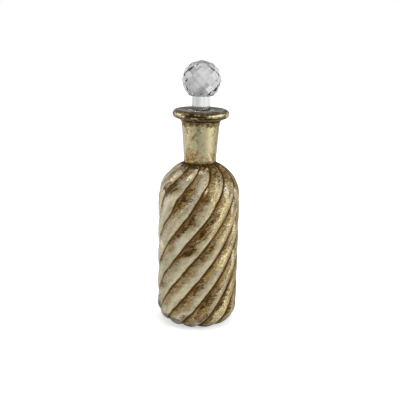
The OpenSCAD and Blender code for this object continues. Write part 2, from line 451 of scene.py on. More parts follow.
def innerOutline():
    depth = swirl["ribDepth"]
    radius = bodyHigh.x - depth - swirl["wall"]
    corner = swirl["corner"] - depth - swirl["wall"] / 2
    floor = depth + swirl["wall"]
    bore = swirl["bore"]
    shoulderZ = bodyHigh.z - swirl["shoulder"]
    top = bodyHigh.z - depth / 2 - swirl["wall"]
    dome = (top - shoulderZ) / math.sqrt(1 - (bore / radius) ** 2)
    last = math.degrees(math.acos(bore / radius))
    points = [(bore, bodyHigh.z)]
    for i in range(15):
        a = math.radians(last * (1 - i / 14))
        points.append((radius * math.cos(a), shoulderZ + dome * math.sin(a)))
    points += arc(radius - corner, floor + corner, corner, 0, -90, 12)
    return points


def footOutline():
    rim = swirl["foot"] - swirl["footBand"]
    deep = swirl["hollow"]
    return [(rim + 0.6 * mm, 0), (rim, 0.25 * mm), (rim - deep * 0.5, deep * 0.62),
            (rim - deep * 1.1, deep * 0.93), (rim * 0.72, deep), (rim * 0.3, deep)]


def handWaver(x, y, z):
    # slow unevenness of the blown wall, always inward
    size = swirl["waverSize"]
    return swirl["waver"] * (0.5 + 0.5 * noise.noise(Vector((x / size, y / size, z / size))))


def buildBody():
    levels = bodyLevels()
    across = swirl["across"]
    around = swirl["ribs"] * across
    verts, flow, faces, ribPlace, band = [], [], [], [], []
    patches = allPatches()
    bandAt = [[patinaAt(patches[rib], level[1]) for rib in range(swirl["ribs"])] for level in levels]
    for radius, z, outR, outZ, depth in levels:
        twist = twistAt(z)
        for j in range(around):
            plain = math.radians(swirl["start"] + 360 * j / around)
            turn = plain + twist
            dip = depth * ribDip(j / across)
            if depth:
                dip += handWaver(radius * math.cos(turn), radius * math.sin(turn), z)
            r = radius - dip * outR
            verts.append((r * math.cos(turn), r * math.sin(turn), max(0, z - dip * outZ)))
            flow.append((radius * math.cos(plain), radius * math.sin(plain), z))
    along = [0.0]
    for a, b in zip(levels, levels[1:]):
        along.append(along[-1] + math.hypot(b[0] - a[0], b[1] - a[1]))
    for k in range(len(levels) - 1):
        for j in range(around):
            n = (j + 1) % around
            low, high = k * around, (k + 1) * around
            faces.append((low + j, low + n, high + n, high + j))
            left, right = j / across, (j + 1) / across
            ribPlace += [(left, along[k]), (right, along[k]), (right, along[k + 1]), (left, along[k + 1])]
            here, above = bandAt[k][j // across], bandAt[k + 1][j // across]
            band += [here, here, above, above]
    outsideFaces = len(faces)

    def sweep(outline, row, lead, flip):
        # carries the surface on from a row of points along a plain round outline
        for radius, z in outline:
            start = len(verts)
            for j in range(around):
                turn = math.radians(swirl["start"] + 360 * j / around) + lead
                verts.append((radius * math.cos(turn), radius * math.sin(turn), z))
                flow.append((radius * math.cos(turn), radius * math.sin(turn), z))
            for j in range(around):
                n = (j + 1) % around
                quad = (row + j, row + n, start + n, start + j)
                faces.append(quad[::-1] if flip else quad)
            row = start
        middle = len(verts)
        verts.append((0, 0, outline[-1][1]))
        flow.append((0, 0, outline[-1][1]))
        for j in range(around):
            tri = (row + j, row + (j + 1) % around, middle)
            faces.append(tri[::-1] if flip else tri)

    inner = [p for p in innerOutline() if p[0] > 1e-6]
    sweep(inner, (len(levels) - 1) * around, twistAt(bodyHigh.z), False)
    sweep(footOutline(), 0, 0, True)
    mesh = bpy.data.meshes.new("swirledBody")
    mesh.from_pydata(verts, [], faces)
    mesh.update()
    mesh.shade_smooth()
    ribs = mesh.uv_layers.new(name="ribs")
    corners = [value for pair in ribPlace for value in pair]
    corners += [0.5, -1.0] * (len(mesh.loops) - len(ribPlace))
    ribs.data.foreach_set("uv", corners)
    shares = mesh.uv_layers.new(name="patina")
    band += [(0.0, 0.5)] * (len(mesh.loops) - len(band))
    shares.data.foreach_set("uv", [value for pair in band for value in pair])
    spread = mesh.attributes.new("flow", "FLOAT_VECTOR", "POINT")
    spread.data.foreach_set("vector", [value for point in flow for value in point])
    print("swirled body:", len(verts), "points,", outsideFaces, "faces outside")
    return link("swirledBody", mesh)


# Colours of the antiqued silver, from pale to the darkest crease, and of the painted highlights
silver = {
    "cream": (0.62, 0.53, 0.34),
    "blush": (0.66, 0.555, 0.39),
    "teal": (0.48, 0.455, 0.31),
    "rose": (0.58, 0.475, 0.36),
    "mist": (0.44, 0.42, 0.305),
    "gold": (0.42, 0.325, 0.12),
    "goldPale": (0.74, 0.64, 0.34),
    "fleck": (0.92, 0.86, 0.62),
    "olive": (0.29, 0.215, 0.055),
    "highlightWhite": (0.92, 0.86, 0.66),
    "mauve": (0.15, 0.105, 0.08),
    "smoke": (0.25, 0.20, 0.105),
    "tan": (0.36, 0.255, 0.12),
    "umber": (0.19, 0.125, 0.08),
    "rust": (0.31, 0.145, 0.035),
    "brown": (0.12, 0.062, 0.011),
    "crease": (0.046, 0.019, 0.0),
}


def bodyFinish():
    m = startFinish("antiquedBody")
    ribAndU, along, _ = apart(m, add(m, "ShaderNodeUVMap", uv_map="ribs").outputs[0])
    bandWidth, tone, _ = apart(m, add(m, "ShaderNodeUVMap", uv_map="patina").outputs[0])
    u = calc(m, "FRACT", ribAndU)
    rib = calc(m, "FLOOR", ribAndU)
    spread = add(m, "ShaderNodeAttribute", attribute_name="flow")
    flow = stretched(m, spread.outputs["Vector"], inMm, inMm, inMm)
    own = shifted(m, flow, 0.0, 0.0, calc(m, "MULTIPLY", rib, 61.7))
    x, y, z = apart(m, placeInMm(m))
    radius = calc(m, "SQRT", calc(m, "ADD", calc(m, "MULTIPLY", x, x), calc(m, "MULTIPLY", y, y)))
    slant = calc(m, "MULTIPLY", radius, math.tau / (swirl["lead"] * inMm))
    steep = calc(m, "SQRT", calc(m, "ADD", calc(m, "MULTIPLY", slant, slant), 1.0))
    width = calc(m, "DIVIDE", calc(m, "MULTIPLY", radius, math.tau / swirl["ribs"]), steep)
    fromLeft = calc(m, "MULTIPLY", u, width)
    fromRight = calc(m, "MULTIPLY", calc(m, "SUBTRACT", 1.0, u), width)

    longFlow = stretched(m, own, 1, 1, 0.4)
    middle = grain(m, own, 5, 2, 0.6)
    strokes = grain(m, stretched(m, own, 0.45, 0.45, 1.7), 2.6, 2, 0.6)
    fine = grain(m, own, 2.2, 3, 0.65)
    dust = grain(m, own, 1.1, 2, 0.6)

    # patina band under each crease, ragged along its lower edge
    ragged = calc(m, "ADD", fromLeft, calc(m, "MULTIPLY_ADD", middle, 8.0, -4.0))
    ragged = calc(m, "ADD", ragged, calc(m, "MULTIPLY_ADD", strokes, 9.0, -4.5))
    over = calc(m, "SUBTRACT", ragged, bandWidth)
    band = span(m, over, -1.0, 0.5, 1.0, 0.0)
    bandEdge = span(m, calc(m, "ABSOLUTE", calc(m, "ADD", over, 0.4)), 0.2, 0.9, 1.0, 0.0)
    edgeHere = span(m, grain(m, shifted(m, own, 40.0, 0.0, 0.0), 12, 1), 0.46, 0.58)
    bandEdge = calc(m, "MULTIPLY", calc(m, "MULTIPLY", bandEdge, edgeHere), span(m, bandWidth, 2.0, 4.0))

    waver = calc(m, "ADD", calc(m, "MULTIPLY_ADD", fine, 1.8, -0.9),
                 calc(m, "MULTIPLY_ADD", grain(m, own, 13, 1), 3.0, -1.5))
    nearest = calc(m, "ADD", calc(m, "MINIMUM", fromLeft, calc(m, "ADD", fromRight, 0.6)), waver)
    crease = span(m, nearest, 0.5, 1.8, 1.0, 0.0)
    besideCrease = span(m, calc(m, "ADD", fromLeft, waver), 1.0, 3.8, 0.85, 0.0)
    # painted highlight: a broken pale-gold line along each rib, close to the next crease
    glintAt = calc(m, "ABSOLUTE", calc(m, "SUBTRACT", fromRight, 2.1))
    glint = calc(m, "MULTIPLY", span(m, glintAt, 0.3, 0.9, 1.0, 0.0),
                 span(m, grain(m, shifted(m, own, 0.0, 70.0, 0.0), 15, 1), 0.5, 0.6))

    # pale silver ground, drifting between cream, blush and a faint teal
    tealShare = span(m, grain(m, longFlow, 11, 4, 0.6), 0.40, 0.60, 0.0, 0.9)
    ground = mixColour(m, tealShare, silver["cream"], silver["teal"])
    blushShare = span(m, grain(m, shifted(m, own, 0.0, 0.0, 300.0), 20, 3, 0.6), 0.52, 0.70, 0.0, 0.7)
    ground = mixColour(m, blushShare, ground, silver["blush"])
    cloud = span(m, grain(m, stretched(m, own, 1, 1, 0.6), 4.5, 4, 0.65), 0.48, 0.64, 0.0, 0.65)
    ground = mixColour(m, cloud, ground, (0.32, 0.26, 0.15))
    hue = grain(m, shifted(m, own, 17.0, 0.0, 0.0), 3.2, 3, 0.65)
    ground = mixColour(m, span(m, hue, 0.51, 0.60, 0.0, 0.6), ground, silver["rose"])
    ground = mixColour(m, span(m, hue, 0.40, 0.49, 0.6, 0.0), ground, silver["mist"])
    ground = mixColour(m, span(m, dust, 0.36, 0.48, 0.4, 0.0), ground, silver["smoke"])
    wisp = span(m, calc(m, "ADD", over, calc(m, "MULTIPLY_ADD", fine, 5.0, -2.5)), 0.0, 8.0, 0.8, 0.0)
    ground = mixColour(m, wisp, ground, silver["smoke"])
    # gold side
    side = calc(m, "DIVIDE", x, radius)
    goldNoise = grain(m, stretched(m, flow, 1, 1, 0.6), 16, 3, 0.6)
    goldSide = calc(m, "ADD", side, calc(m, "MULTIPLY_ADD", goldNoise, 1.4, -0.7))
    goldSide = span(m, calc(m, "ADD", goldSide, span(m, z, 110.0, 165.0, 0.0, 0.3)), 0.25, 0.7)
    dome = calc(m, "MULTIPLY", span(m, z, 138.0, 152.0), span(m, side, 0.16, 0.34))
    goldSide = calc(m, "MAXIMUM", goldSide, calc(m, "MULTIPLY", dome, 0.9))
    goldCells = grain(m, own, 2.4, 3, 0.7)
    gold = mixColour(m, span(m, goldCells, 0.44, 0.55), silver["gold"], silver["goldPale"])
    fleckHere = span(m, grain(m, shifted(m, own, 0.0, 0.0, 40.0), 2.0, 3, 0.7), 0.54, 0.64)
    gold = mixColour(m, fleckHere, gold, silver["fleck"])
    goldShare = calc(m, "MULTIPLY", goldSide, span(m, grain(m, longFlow, 4.2, 3, 0.65), 0.34, 0.50))
    ground = mixColour(m, goldShare, ground, gold)
    sand = span(m, calc(m, "MULTIPLY_ADD", middle, 0.3, grain(m, own, 1.3, 3, 0.7)), 0.66, 0.74, 0.0, 0.75)
    ground = mixColour(m, calc(m, "MULTIPLY", sand, goldSide), ground, silver["tan"])

    # brown specks, thick near the bands and on the gold side
    speck = span(m, dots(m, own, 2.1), 0.20, 0.40, 1.0, 0.0)
    speck = calc(m, "MAXIMUM", speck, span(m, dots(m, shifted(m, own, 9.0, 0.0, 0.0), 1.5), 0.16, 0.34, 1.0, 0.0))
    speckZone = calc(m, "ADD", span(m, over, 0.0, 7.0, 0.62, 0.05), calc(m, "MULTIPLY", goldSide, 0.58))
    speckZone = calc(m, "ADD", speckZone, calc(m, "MULTIPLY", dome, 0.08))
    speckHere = span(m, calc(m, "ADD", grain(m, own, 4, 2), speckZone), 0.76, 0.96)
    speck = calc(m, "MULTIPLY", speck, speckHere)

    # the band itself: mottled from near black through brown and rust to tan
    clumps = grain(m, shifted(m, own, 0.0, 33.0, 0.0), 4.2, 2, 0.5)
    mottle = calc(m, "MULTIPLY_ADD", strokes, 0.35, calc(m, "MULTIPLY", clumps, 0.45))
    mottle = calc(m, "MULTIPLY_ADD", fine, 0.2, mottle)
    mottle = calc(m, "ADD", mottle, calc(m, "MULTIPLY_ADD", tone, 0.30, -0.12))
    mottle = calc(m, "ADD", mottle, span(m, over, -6.0, 0.0, -0.07, 0.07))
    patinaColour = mixColour(m, span(m, mottle, 0.42, 0.50), silver["crease"], silver["brown"])
    patinaColour = mixColour(m, span(m, mottle, 0.50, 0.60), patinaColour, silver["tan"])
    umberHere = span(m, grain(m, shifted(m, own, 0.0, 0.0, 77.0), 5, 2), 0.48, 0.58, 0.0, 0.7)
    patinaColour = mixColour(m, umberHere, patinaColour, silver["umber"])
    rustHere = span(m, grain(m, shifted(m, own, 90.0, 0.0, 0.0), 6, 3, 0.6), 0.54, 0.64, 0.0, 0.75)
    toneShare = span(m, tone, 0.0, 0.5, 0.3, 1.0)
    patinaColour = mixColour(m, calc(m, "MULTIPLY", rustHere, toneShare), patinaColour, silver["rust"])
    oliveHere = grain(m, shifted(m, own, 0.0, 150.0, 0.0), 6, 4, 0.65)
    warmSide = calc(m, "MULTIPLY", toneShare, span(m, side, -0.5, 0.4, 0.3, 1.0))
    oliveShare = calc(m, "MULTIPLY", span(m, oliveHere, 0.52, 0.62, 0.0, 0.85), warmSide)
    patinaColour = mixColour(m, oliveShare, patinaColour, silver["olive"])
    fleck = span(m, grain(m, shifted(m, own, 0.0, 210.0, 0.0), 1.7, 2, 0.6), 0.60, 0.68, 0.0, 0.8)
    patinaColour = mixColour(m, calc(m, "MULTIPLY", fleck, warmSide), patinaColour, silver["goldPale"])
    gaps = calc(m, "ADD", calc(m, "MULTIPLY_ADD", dust, 0.4, calc(m, "MULTIPLY", fine, 0.6)),
                calc(m, "MULTIPLY_ADD", tone, 0.14, calc(m, "MULTIPLY", over, 0.025)))
    bandShare = calc(m, "MULTIPLY", band, calc(m, "SUBTRACT", 1.0, span(m, gaps, 0.54, 0.66, 0.0, 0.8)))

    # dark gathering where the shoulder meets the neck, reaching lower on the right
    reach = calc(m, "ADD", z, calc(m, "MULTIPLY_ADD", middle, 20.0, -10.0))
    reach = calc(m, "ADD", reach, span(m, side, 0.0, 0.8, -7.0, 9.0))
    joint = span(m, reach, 168.0, 173.0)
    joint = calc(m, "MULTIPLY", joint, span(m, calc(m, "ADD", fine, span(m, z, 168.0, 178.0, 0.0, 0.12)),
                                            0.44, 0.56, 0.15, 1.0))
    ringDark = span(m, calc(m, "ADD", z, calc(m, "MULTIPLY_ADD", middle, 9.0, -4.5)), 175.8, 177.8)

    # patches placed one by one, as seen in front
    front = calc(m, "MULTIPLY", calc(m, "ARCTAN2", x, calc(m, "MULTIPLY", y, -1.0)), swirl["armMm"])
    rough1 = calc(m, "MULTIPLY_ADD", fine, 1.6, -0.8)
    # painted highlights: bright patches on the shoulder and beside the creases, in a pinker tone on the left
    highlight = spots(m, front, z, rough1, swirl["highlightPlaces"])
    highlight = calc(m, "MULTIPLY", highlight, span(m, calc(m, "ADD", dust, fine), 0.86, 1.04, 0.0, 1.0))
    pale = spots(m, front, z, calc(m, "MULTIPLY_ADD", strokes, 3.0, -1.5), swirl["palePlaces"])
    leftHighlightTone = mixColour(m, span(m, fine, 0.44, 0.56), (0.50, 0.36, 0.16), (0.97, 0.80, 0.58))
    # stains, with painted shade low at the left and right edges of the base
    stainAndShade = spots(m, front, z, calc(m, "MULTIPLY_ADD", middle, 3.0, -1.5), swirl["stainAndShadePlaces"])
    stainAndShade = calc(m, "MULTIPLY", stainAndShade, span(m, fine, 0.42, 0.60, 1.0, 0.6))
    # painted shade low on the base, reaching higher at the left and right edges, and a painted dark line of shade and
    # reflection along the bottom edge
    lowZ = calc(m, "ADD", z, calc(m, "MULTIPLY_ADD", middle, 8.0, -4.0))
    lowZ = calc(m, "SUBTRACT", lowZ, span(m, calc(m, "ABSOLUTE", side), 0.4, 0.9, 0.0, 5.0))
    bottom = span(m, lowZ, 3.0, 14.0, 0.8, 0.0)
    paintedBottomEdgeShade = span(m, z, 3.0, 8.0, 0.92, 0.0)

    colour = mixColour(m, calc(m, "MULTIPLY", pale, 0.6), ground, (0.62, 0.56, 0.43))
    colour = mixColour(m, calc(m, "MULTIPLY", glint, 0.6), colour, silver["goldPale"])
    stainAndShadeTone = mixColour(m, span(m, clumps, 0.42, 0.52), silver["crease"], silver["mauve"])
    colour = mixColour(m, calc(m, "MULTIPLY", stainAndShade, 0.92), colour, stainAndShadeTone)
    colour = mixColour(m, calc(m, "MULTIPLY", speck, 0.9), colour, mixColour(m, span(m, dust, 0.4, 0.65), silver["brown"], silver["tan"]))
    # painted shade low on the base
    colour = mixColour(m, bottom, colour, (0.15, 0.125, 0.095))
    colour = mixColour(m, bandShare, colour, patinaColour)
    colour = mixColour(m, calc(m, "MULTIPLY", bandEdge, 0.85), colour, silver["brown"])
    # tone of the painted highlights
    highlightTone = mixColour(m, span(m, clumps, 0.50, 0.60), silver["highlightWhite"], (0.80, 0.63, 0.42))
    highlightTone = mixColour(m, span(m, side, -0.45, -0.25, 1.0, 0.0), highlightTone, leftHighlightTone)
    colour = mixColour(m, calc(m, "MULTIPLY", highlight, 0.9), colour, highlightTone)
    jointTone = mixColour(m, span(m, clumps, 0.42, 0.58), silver["crease"], (0.17, 0.105, 0.045))
    jointTone = mixColour(m, span(m, oliveHere, 0.54, 0.64), jointTone, silver["olive"])
    jointTone = mixColour(m, span(m, goldCells, 0.57, 0.65), jointTone, silver["goldPale"])
    colour = mixColour(m, calc(m, "MULTIPLY", joint, 0.9), colour, jointTone)
    colour = mixColour(m, calc(m, "MULTIPLY", ringDark, 0.95), colour, silver["crease"])
    besideCrease = calc(m, "MULTIPLY", besideCrease, calc(m, "MULTIPLY_ADD", highlight, -0.9, 1.0))
    colour = mixColour(m, besideCrease, colour, silver["brown"])
    colour = mixColour(m, calc(m, "MULTIPLY", crease, 0.95), colour, silver["crease"])
    # painted dark line of shade and reflection along the bottom edge
    colour = mixColour(m, paintedBottomEdgeShade, colour, (0.035, 0.032, 0.030))

    dull = calc(m, "MAXIMUM", calc(m, "MAXIMUM", bandShare, joint), crease)
    dull = calc(m, "MAXIMUM", dull, calc(m, "MAXIMUM", paintedBottomEdgeShade, stainAndShade))
    dull = calc(m, "MAXIMUM", dull, besideCrease)
    rough = calc(m, "ADD", mixValue(m, dull, 0.30, 0.50), calc(m, "MULTIPLY_ADD", dust, 0.14, -0.07))
    metal = mixValue(m, calc(m, "MAXIMUM", dull, highlight), 0.55, 0.1)
    relief = calc(m, "MULTIPLY", dull, calc(m, "ADD", fine, dust))
    return surface(m, relief, 0.12 * mm, Base_Color=colour, Roughness=rough, Metallic=metal,
                   Specular_IOR_Level=0.06, Coat_Weight=mixValue(m, dull, 0.22, 0.03), Coat_Roughness=0.12,
                   Coat_IOR=1.45)


body = buildBody()
place(body, "bottle", "antiqued_glass", bodyFinish(), "swirl_body")
print("body placed")

# Neck: smooth, a little wider at the top, with a groove where it meets the shoulder
neckShape = {
    "lowRadius": 17.4 * mm,
    "grooveDeep": 0.6 * mm,
    "grooveHigh": 1.2 * mm,
    "flare": 1.3,
    "steps": 60,
    "armMm": 19,                 # radius that turns an angle into mm round the neck
    # gold-toned painted highlights: middle across and up, half sizes (mm), lean
    "goldSheenPlaces": ((14, 211, 4, 11, 0), (16, 192, 3, 6, 0), (10, 184, 4, 5, 20), (-13, 187, 3, 6, 0)),
    "rustPlaces": ((-13, 193, 4.5, 4.5, 0), (-9, 187, 7, 5, -20), (-16, 184, 3.5, 6, 0), (-4, 191, 2.5, 3.5, 0),
                   (9, 185, 3, 2.5, 0)),
    "markPlaces": ((-6.5, 208.5, 1.7, 5.2, -38), (-3.6, 204.5, 0.9, 2.6, 28), (-2.5, 216, 1.8, 1.8, 0),
                   (19, 188, 1.4, 3.5, 0), (2, 181.5, 2, 2.6, 0), (20, 201, 1.4, 3, 0), (-15, 214, 1.2, 4, 0),
                   (16, 214, 1.2, 1.6, 0)),
}


def neckOutline():
    low, high = neckLow.z, neckHigh.z
    base, groove = neckShape["lowRadius"], neckShape["grooveHigh"]
    top = neckHigh.x - swirl["inset"]
    points = [(base - neckShape["grooveDeep"], low), (base - neckShape["grooveDeep"], low + groove * 0.35),
              (base - neckShape["grooveDeep"] * 0.6, low + groove * 0.75), (base - 0.12 * mm, low + groove * 0.97)]
    for i in range(neckShape["steps"] + 1):
        t = i / neckShape["steps"]
        points.append((base + (top - base) * t ** neckShape["flare"], low + groove + (high - low - groove) * t))
    points += [(swirl["bore"], high), (swirl["bore"], low)]
    return points


def neckFinish():
    m = startFinish("antiquedNeck")
    where = placeInMm(m)
    x, y, z = apart(m, where)
    low, high = neckLow.z * inMm, neckHigh.z * inMm
    front = calc(m, "MULTIPLY", calc(m, "ARCTAN2", x, calc(m, "MULTIPLY", y, -1.0)), neckShape["armMm"])
    tall = stretched(m, where, 1, 1, 0.2)
    middle = grain(m, stretched(m, where, 1, 1, 0.7), 4.5, 3, 0.6)
    fine = grain(m, where, 2.0, 3, 0.65)
    dust = grain(m, where, 1.1, 2, 0.6)
    streak = span(m, grain(m, tall, 5, 2), 0.40, 0.62)
    ground = mixColour(m, streak, (0.50, 0.44, 0.27), (0.38, 0.35, 0.20))
    ground = mixColour(m, span(m, grain(m, tall, 11, 1), 0.48, 0.60), ground, (0.51, 0.44, 0.29))
    # painted shade down the middle of the front and a painted reflection stripe on the right
    paintedCentreShade = span(m, calc(m, "ABSOLUTE", calc(m, "SUBTRACT", front, 1.0)), 3.0, 8.0, 0.6, 0.0)
    ground = mixColour(m, paintedCentreShade, ground, (0.33, 0.32, 0.19))
    paintedReflectionStripe = span(m, calc(m, "ABSOLUTE", calc(m, "SUBTRACT", front, 11.0)), 1.0, 5.0, 0.6, 0.0)
    ground = mixColour(m, paintedReflectionStripe, ground, (0.47, 0.43, 0.25))

    ragged = calc(m, "MULTIPLY_ADD", fine, 2.4, -1.2)
    # gold-toned painted highlights on the right and one on the left, speckled
    gold = spots(m, front, z, ragged, neckShape["goldSheenPlaces"])
    gold = calc(m, "MULTIPLY", gold, span(m, dust, 0.40, 0.54, 0.25, 1.0))
    colour = mixColour(m, gold, ground, (0.52, 0.455, 0.27))
    tanCloud = span(m, grain(m, where, 3.2, 4, 0.7), 0.54, 0.66, 0.0, 0.5)
    colour = mixColour(m, tanCloud, colour, (0.30, 0.22, 0.10))

    # rust low on the left, small brown marks, a ragged dark band under the bead
    rust = spots(m, front, z, ragged, neckShape["rustPlaces"])
    rustTone = mixColour(m, span(m, dust, 0.42, 0.58), (0.11, 0.05, 0.008), (0.52, 0.34, 0.12))
    colour = mixColour(m, calc(m, "MULTIPLY", rust, span(m, middle, 0.38, 0.5, 0.55, 1.0)), colour, rustTone)
    chance = span(m, calc(m, "ADD", middle, span(m, z, low + 2, low + 24, 0.10, 0.0)), 0.60, 0.68, 0.0, 0.8)
    colour = mixColour(m, chance, colour, rustTone)
    mark = spots(m, front, z, calc(m, "MULTIPLY_ADD", dust, 3.2, -1.6), neckShape["markPlaces"])
    colour = mixColour(m, calc(m, "MULTIPLY", mark, 0.75), colour, (0.12, 0.078, 0.02))
    hang = calc(m, "ADD", calc(m, "SUBTRACT", high, z), calc(m, "MULTIPLY_ADD", middle, 20.0, -10.0))
    under = span(m, calc(m, "ADD", hang, calc(m, "MULTIPLY_ADD", fine, 6.0, -3.0)), 2.6, 4.8, 1.0, 0.0)
    foot = calc(m, "ADD", calc(m, "SUBTRACT", z, low), calc(m, "MULTIPLY_ADD", middle, 8.0, -4.0))
    foot = span(m, foot, 1.8, 3.4, 1.0, 0.0)
    dark = calc(m, "MULTIPLY", calc(m, "MAXIMUM", under, foot), span(m, dust, 0.30, 0.46, 0.7, 1.0))
    clumps = grain(m, stretched(m, where, 0.8, 0.8, 1.4), 3.6, 3, 0.65)
    darkTone = mixColour(m, span(m, clumps, 0.44, 0.58), (0.04, 0.022, 0.003), (0.27, 0.19, 0.08))
    colour = mixColour(m, calc(m, "MULTIPLY", dark, 0.96), colour, darkTone)
    rightSide = span(m, calc(m, "ADD", front, calc(m, "MULTIPLY_ADD", middle, 14.0, -7.0)), 9.0, 14.0)
    sand = span(m, calc(m, "MULTIPLY_ADD", middle, 0.3, grain(m, where, 1.4, 3, 0.7)), 0.66, 0.74, 0.0, 0.8)
    colour = mixColour(m, calc(m, "MULTIPLY", sand, mixValue(m, rightSide, 0.25, 1.0)), colour, silver["tan"])
    speck = calc(m, "MULTIPLY", span(m, dots(m, where, 2.0), 0.18, 0.36, 1.0, 0.0), span(m, middle, 0.50, 0.58))
    colour = mixColour(m, calc(m, "MULTIPLY", speck, 0.8), colour, silver["brown"])
    dull = calc(m, "MAXIMUM", dark, calc(m, "MULTIPLY", rust, 0.6))
    rough = calc(m, "ADD", mixValue(m, dull, 0.26, 0.46), calc(m, "MULTIPLY_ADD", dust, 0.14, -0.07))
    metal = mixValue(m, dull, 0.6, 0.2)
    return surface(m, calc(m, "MULTIPLY", dull, fine), 0.1 * mm, Base_Color=colour, Roughness=rough,
                   Metallic=metal, Specular_IOR_Level=0.12, Coat_Weight=0.12, Coat_Roughness=0.1, Coat_IOR=1.5)


neck = lathe("smoothNeck", neckOutline())
place(neck, "bottle", "antiqued_glass_neck", neckFinish(), "neck")
print("neck placed")

# Lip: a bead, a sloping underside, a fat roll and a recess that takes the stopper's flange
lipShape = {
    "neckTop": 20.5 * mm,
    "bead": 0.7 * mm,
    "beadHigh": 1.1 * mm,
    "rollSize": 4.45 * mm,
    "rollFrom": -70,
    "rollTo": 96,
    "dish": 0.9 * mm,
    "seatRadius": 15.6 * mm,
    "seatDeep": 3 * mm,
    "edge": 0.6 * mm,
    "waver": 0.16 * mm,
    "armMm": 30,                 # radius that turns an angle into mm round the lip
    # gold-toned painted highlights on the roll, mostly at its left and right
    "goldSheenPlaces": ((-26, 231.5, 9, 2.2, 0), (18, 232, 13, 2.0, 0), (36, 231, 7, 2.4, 0), (-6, 229, 5, 0.7, 0)),
    # painted highlights on the roll
    "hotHighlightPlaces": ((22, 232.2, 6, 0.9, 0), (13, 231.6, 2, 0.7, 0), (-26, 231.9, 4, 0.8, 0), (37, 231.2, 2, 1, 0)),
    # painted shade and dark reflection: the middle of the front, both far sides of the roll and two thin lines along
    # it
    "paintedShadePlaces": ((-5, 231.0, 12, 1.3, 0), (-42, 230, 6, 4, 0), (46, 231, 6, 4, 0), (8, 228.8, 12, 0.8, 0),
                   (6, 233.2, 16, 0.6, 0)),
}


def lipOutline():
    roll = lipShape["rollSize"]
    crest = lipHigh.z
    edge = lipShape["edge"]
    mouth = crest - lipShape["dish"]
    seat = mouth - lipShape["seatDeep"]
    base, bead, high = lipShape["neckTop"], lipShape["bead"], lipShape["beadHigh"]
    outer = lipHigh.x - swirl["inset"]
    bulge = [(base + bead * math.sin(math.radians(a)), lipLow.z + high * (1 - math.cos(math.radians(a))) / 2)
             for a in range(0, 151, 15)]
    rollArc = arc(outer - roll, crest - roll, roll, lipShape["rollFrom"], lipShape["rollTo"], 40)
    slopeStart = (base + 0.25 * mm, lipLow.z + high * 1.08)
    slope = stretch([slopeStart, rollArc[0]], 0.4 * mm, 12)
    dish = stretch([rollArc[-1], (lipShape["seatRadius"] + edge, mouth)], 0.4 * mm, 20)
    lipEdge = arc(lipShape["seatRadius"] + edge, mouth - edge, edge, 90, 180, 6)
    return ([(swirl["bore"], lipLow.z)] + bulge + slope[:-1] + rollArc[:-1] + dish[:-1] + lipEdge
            + [(lipShape["seatRadius"], seat), (swirl["bore"], seat)])


def lipWaver(turn, radius, height):
    if height < lipLow.z + 3 * mm or radius < lipShape["seatRadius"] + 2 * mm:
        return 0
    return lipShape["waver"] * (0.5 + 0.3 * math.sin(2 * turn + 0.7) + 0.2 * math.sin(5 * turn))


